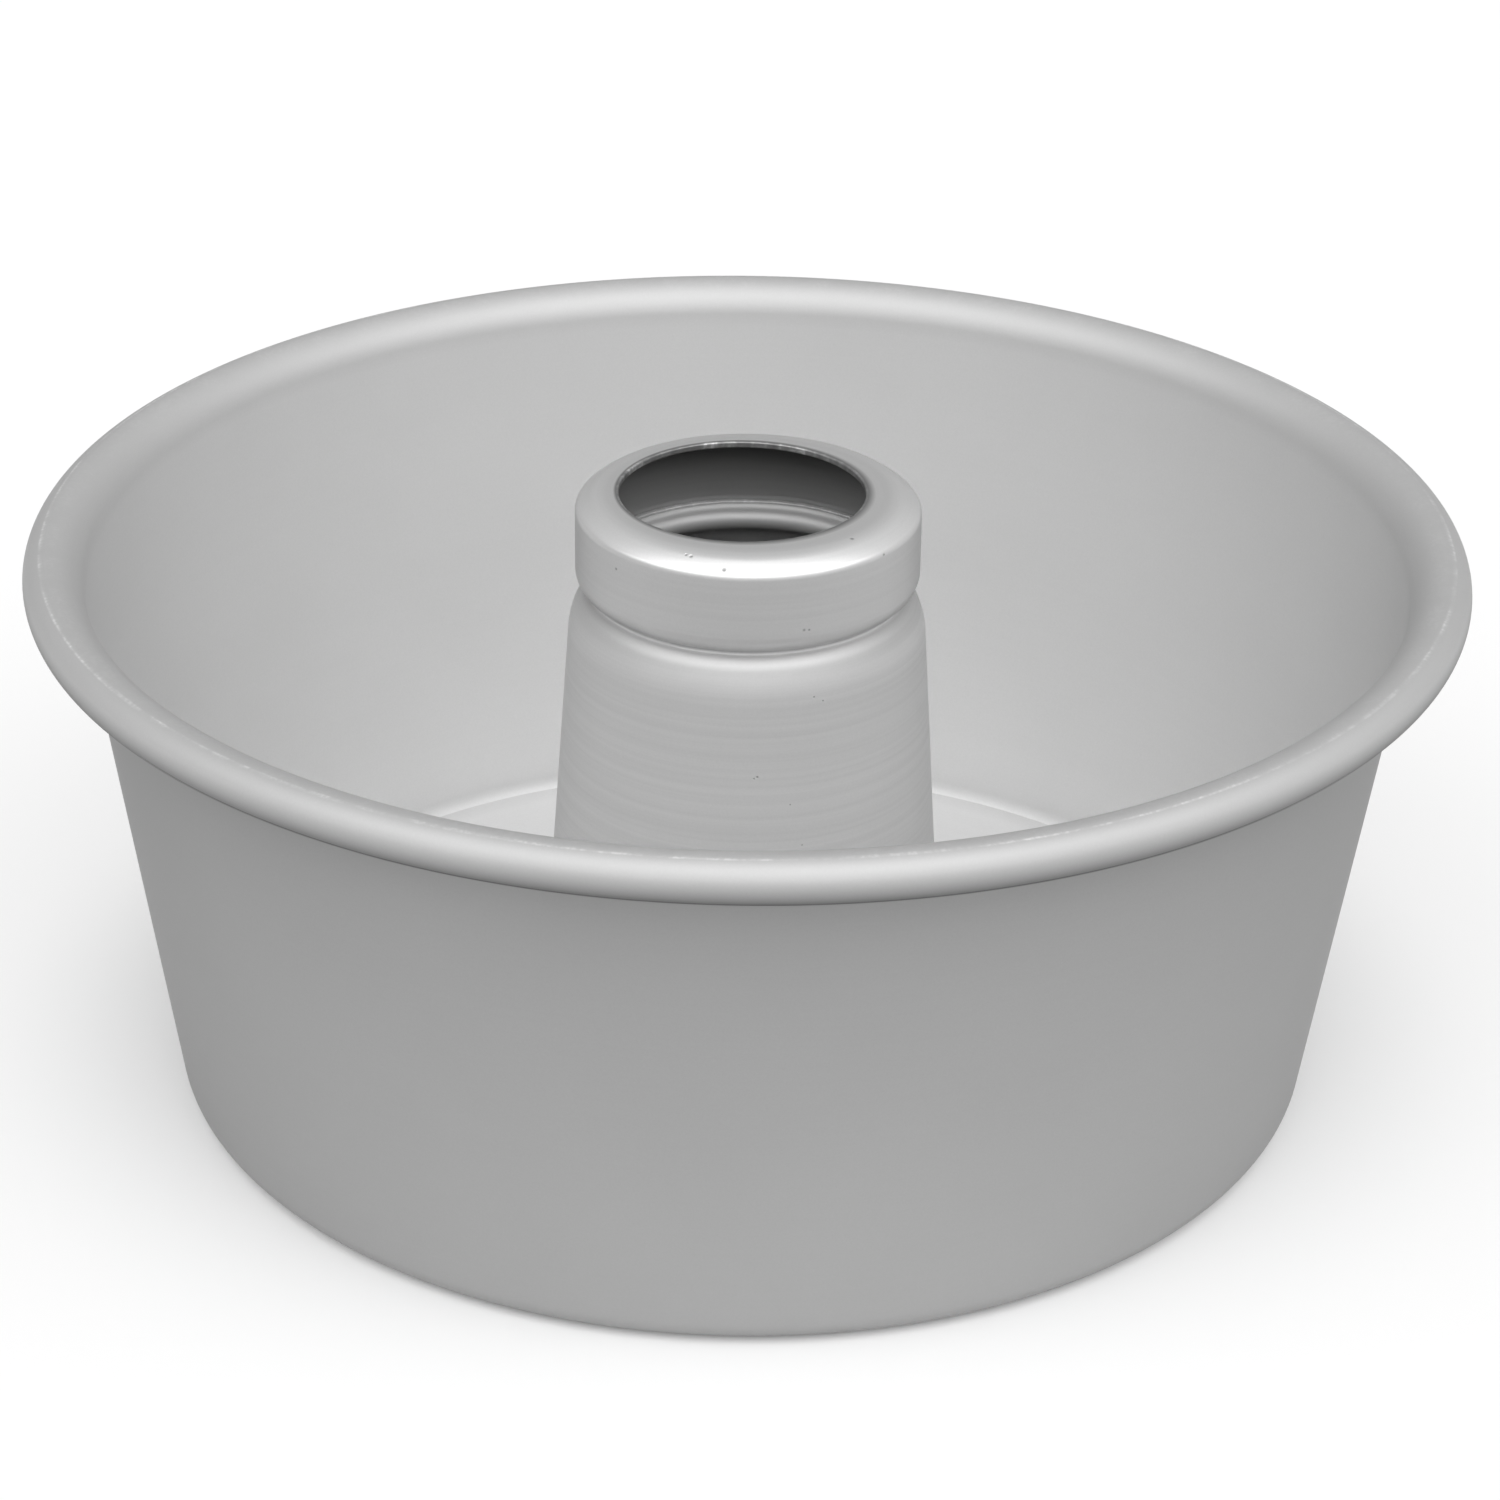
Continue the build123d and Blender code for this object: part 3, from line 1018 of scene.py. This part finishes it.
class CAKEPAN_OT_tube(Operator):
    """Build the tapered tube with its shoulder, neck, flared edge and folded foot"""

    bl_idname = "cakepan.tube"
    bl_label = "Tube"

    def execute(self, context):
        scene = context.scene
        tube, collar, plate = scene.pan_tube, scene.pan_collar, scene.pan_plate
        sheet, looks = scene.pan_sheet, scene.pan_finish
        outline = tube_outline(tube, collar, plate, sheet)
        radius, height, around = turned_grid(outline, NARROW_SEGMENTS)
        reach = RIPPLE_REACH * sheet.thickness
        edge = np.clip((height - TUBE[3] + reach) / reach, 0.0, 1.0)
        ripple = wander(around, sheet.raw_edge_ripple, RIPPLE_WAVES)
        height = height + edge * (ripple - ripple.max())
        fold = turned_grid(fold_outline(tube, collar, plate, sheet), NARROW_SEGMENTS)
        grids = [in_space(radius, height, around), in_space(*fold)]
        places = tube_places(tube, collar, sheet)
        groove_height = groove_bend(tube, collar, places)[0][1]
        tone = tube_painted_shading(outline, places, groove_height, looks)
        raw_edge = height > TUBE[3] - RAW_EDGE_HEIGHT
        wear = RAW_EDGE_WEAR * comes_and_goes(around, RAW_EDGE_WAVES) * raw_edge
        mesh = surface_mesh("tapered_tube", grids, tone, wear)
        finish = satin_aluminium(
            "turned_tube", looks.tube_colour, looks.tube_roughness, TUBE_LINES, looks,
            spots_at(TUBE_MARKS),
        )
        place(mesh, "centre_tube", finish, "turned_aluminium")
        return {"FINISHED"}


class CAKEPAN_OT_collar(Operator):
    """Build the collar that is crimped over the tube's flared edge"""

    bl_idname = "cakepan.collar"
    bl_label = "Collar"

    def execute(self, context):
        scene = context.scene
        collar, sheet, looks = scene.pan_collar, scene.pan_sheet, scene.pan_finish
        outline = collar_outline(collar)
        radius, height, around = turned_grid(outline, NARROW_SEGMENTS)
        radius = set_off_opening(radius, height, around, collar, sheet)
        tone = collar_painted_shading(outline, collar, looks)
        wear = burr(radius, height, around, collar, sheet)
        mesh = surface_mesh("crimped_collar", [in_space(radius, height, around)], tone, wear)
        finish = satin_aluminium(
            "turned_collar", looks.collar_colour, looks.collar_roughness, COLLAR_LINES, looks,
            spots_at(COLLAR_PITS),
        )
        place(mesh, "tube_collar", finish, "turned_aluminium")
        return {"FINISHED"}


# Stage

# The softbox rises from none to all of it between these parts of a direction that point up, and
# between these that point to the back
SOFTBOX_UP = (0.30, 0.64)
SOFTBOX_BACK = (0.20, -0.12)

# Corners of the floor's disc, and the camera's sensor in millimetres and range in metres
FLOOR_CORNERS = 96
SENSOR_WIDTH = 36.0
CAMERA_RANGE = (0.01, 50.0)


def softbox_room(world, studio):
    """A plain room, a little brighter to the right, with one broad softbox over its front half.

    The softbox shows in a direction by how far it points up and to the front: each is a smooth
    rise from 0 to 1, and their product is the softbox's share.
    """
    graph = Graph(world.node_tree)
    toward = graph.add("ShaderNodeTexCoord").outputs["Generated"]
    split = graph.add("ShaderNodeSeparateXYZ", toward).outputs
    high = graph.spread(split[2], *SOFTBOX_UP, 0.0, 1.0, smooth=True)
    front = graph.spread(split[1], *SOFTBOX_BACK, 0.0, 1.0, smooth=True)
    box = graph.math("MULTIPLY", graph.math("MULTIPLY", high, front), studio.softbox)
    plain, swing = studio.surroundings, studio.side_balance
    side = graph.spread(split[0], -1.0, 1.0, plain * (1.0 - swing), plain * (1.0 + swing))
    strength = graph.math("ADD", box, side)
    graph.feed(world.node_tree.nodes["Background"], {"Color": (1.0,) * 4, "Strength": strength})


class CAKEPAN_OT_studio(Operator):
    """Set up the pale floor, the soft light and the camera"""

    bl_idname = "cakepan.studio"
    bl_label = "Studio"

    def execute(self, context):
        scene = context.scene
        studio = scene.pan_studio
        around = np.linspace(0.0, 2.0 * math.pi, FLOOR_CORNERS, endpoint=False)
        disc = in_space(studio.floor_radius, 0.0 * around, around)
        mesh = bpy.data.meshes.new("floor")
        mesh.from_pydata(disc.tolist(), [], [list(range(len(disc)))])
        mesh.materials.append(floor_material(studio.floor_colour, studio.floor_glow))
        floor = bpy.data.objects.new("floor", mesh)
        scene.collection.objects.link(floor)
        scene.world = bpy.data.worlds.new("room")
        scene.world.use_nodes = True
        softbox_room(scene.world, studio)
        self.add_camera(scene, studio)
        scene.view_settings.view_transform = "Standard"
        return {"FINISHED"}

    def add_camera(self, scene, studio):
        """A camera that stands back from the aim, tilted down and rolled about its own axis."""
        camera = bpy.data.objects.new("camera", bpy.data.cameras.new("camera"))
        camera.data.sensor_width = SENSOR_WIDTH
        camera.data.lens = studio.lens
        camera.data.clip_start, camera.data.clip_end = CAMERA_RANGE
        tilted = Matrix.Rotation(math.pi / 2.0 - studio.elevation, 4, "X")
        rolled = tilted @ Matrix.Rotation(studio.roll, 4, "Z")
        back = Matrix.Translation((0.0, 0.0, studio.distance))
        camera.matrix_world = Matrix.Translation(studio.aim) @ rolled @ back
        scene.collection.objects.link(camera)
        scene.camera = camera


class CAKEPAN_PT_panel(Panel):
    """Lists the pieces of the cake pan"""

    bl_idname = "CAKEPAN_PT_panel"
    bl_label = "Cake Pan"
    bl_space_type = "VIEW_3D"
    bl_region_type = "UI"
    bl_category = "Cake Pan"

    def draw(self, context):
        for operator in OPERATORS:
            self.layout.operator(operator.bl_idname)


OPERATORS = (
    CAKEPAN_OT_shell, CAKEPAN_OT_bottom, CAKEPAN_OT_tube, CAKEPAN_OT_collar, CAKEPAN_OT_studio,
)
GROUPS = {
    "pan_sheet": SheetSizes,
    "pan_shell": ShellSizes,
    "pan_plate": PlateSizes,
    "pan_tube": TubeSizes,
    "pan_collar": CollarSizes,
    "pan_finish": FinishLooks,
    "pan_studio": StudioLooks,
}


def register():
    """Register the classes, and hang the property groups on the scene."""
    for cls in (*GROUPS.values(), *OPERATORS, CAKEPAN_PT_panel):
        bpy.utils.register_class(cls)
    for name, group in GROUPS.items():
        setattr(bpy.types.Scene, name, PointerProperty(type=group))


def unregister():
    """Take the property groups off the scene, and unregister the classes."""
    for name in GROUPS:
        delattr(bpy.types.Scene, name)
    for cls in (CAKEPAN_PT_panel, *reversed(OPERATORS), *reversed(GROUPS.values())):
        bpy.utils.unregister_class(cls)


def main():
    """Build the pan and its studio."""
    register()
    bpy.ops.cakepan.shell()
    bpy.ops.cakepan.bottom()
    bpy.ops.cakepan.tube()
    bpy.ops.cakepan.collar()
    bpy.ops.cakepan.studio()


if __name__ == "__main__":
    main()
